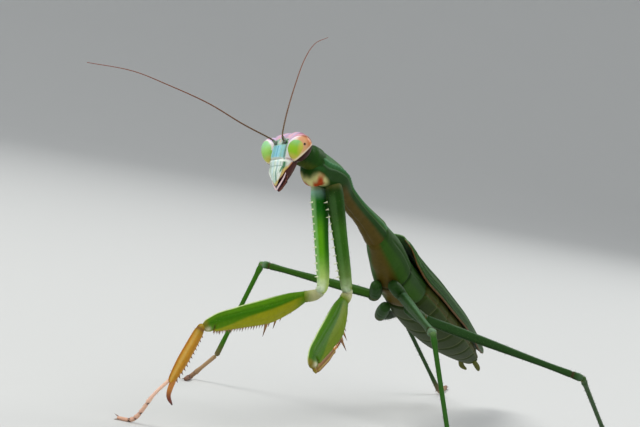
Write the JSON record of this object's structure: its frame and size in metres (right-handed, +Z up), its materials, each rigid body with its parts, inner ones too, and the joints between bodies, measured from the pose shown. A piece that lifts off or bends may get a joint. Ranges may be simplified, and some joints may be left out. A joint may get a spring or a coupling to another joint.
{
  "type": "praying mantis",
  "caption": "Life-size still praying mantis standing with its head turned, one grasping foreleg reaching to the floor and the other folded, wings closed over the back.",
  "frame": {"origin": "centre of the overall box at the floor that the feet rest on", "axes": "+Z up from the floor, -Y the way the animal faces, +X towards its left side"},
  "size_m": [0.0568, 0.1066, 0.0518],
  "materials": {
    "head_green": "pale green and lilac shell, satin",
    "eye_green": "lime eye with a smooth gloss",
    "mouth_cream": "cream shell, satin",
    "antenna_brown": "ringed reddish brown thread",
    "trunk_green": "deep green shell, satin",
    "abdomen_olive": "dark olive segments, matte",
    "wing_green": "veined green wing cover with a brown leading edge",
    "foreleg_green": "leaf green shell, slightly glossy",
    "foretibia_gold": "golden shell with brown-tipped spines",
    "foretibia_brown": "brown shell with dark spines",
    "leg_green": "dark green shell with paler knees",
    "tarsus_peach": "peach and reddish brown foot segments"
  },
  "bodies": {
    "root": {"head": "head_green", "mouthparts": "mouth_cream", "eye_left": "eye_green", "eye_right": "eye_green", "antenna_left": "antenna_brown", "antenna_right": "antenna_brown", "neck": "trunk_green", "prothorax": "trunk_green", "pterothorax": "trunk_green", "abdomen_front": "abdomen_olive", "abdomen_middle": "abdomen_olive", "abdomen_tip": "abdomen_olive", "cercus_left": "abdomen_olive", "cercus_right": "abdomen_olive", "forewing_left": "wing_green", "forewing_right": "wing_green", "fore_coxa_left": "foreleg_green", "fore_coxa_right": "foreleg_green", "fore_trochanter_left": "foreleg_green", "fore_trochanter_right": "foreleg_green", "fore_femur_left": "foreleg_green", "fore_femur_right": "foreleg_green", "fore_tibia_left": "foretibia_brown", "fore_tibia_right": "foretibia_gold", "fore_tarsus_left": "tarsus_peach", "fore_tarsus_right": "tarsus_peach", "mid_coxa_left": "leg_green", "mid_coxa_right": "leg_green", "mid_femur_left": "leg_green", "mid_femur_right": "leg_green", "mid_tibia_left": "leg_green", "mid_tibia_right": "leg_green", "mid_tarsus_left": "tarsus_peach", "mid_tarsus_right": "tarsus_peach", "hind_coxa_left": "leg_green", "hind_coxa_right": "leg_green", "hind_femur_left": "leg_green", "hind_femur_right": "leg_green", "hind_tibia_left": "leg_green", "hind_tibia_right": "leg_green", "hind_tarsus_left": "tarsus_peach", "hind_tarsus_right": "tarsus_peach"}
  },
  "joints": []
}
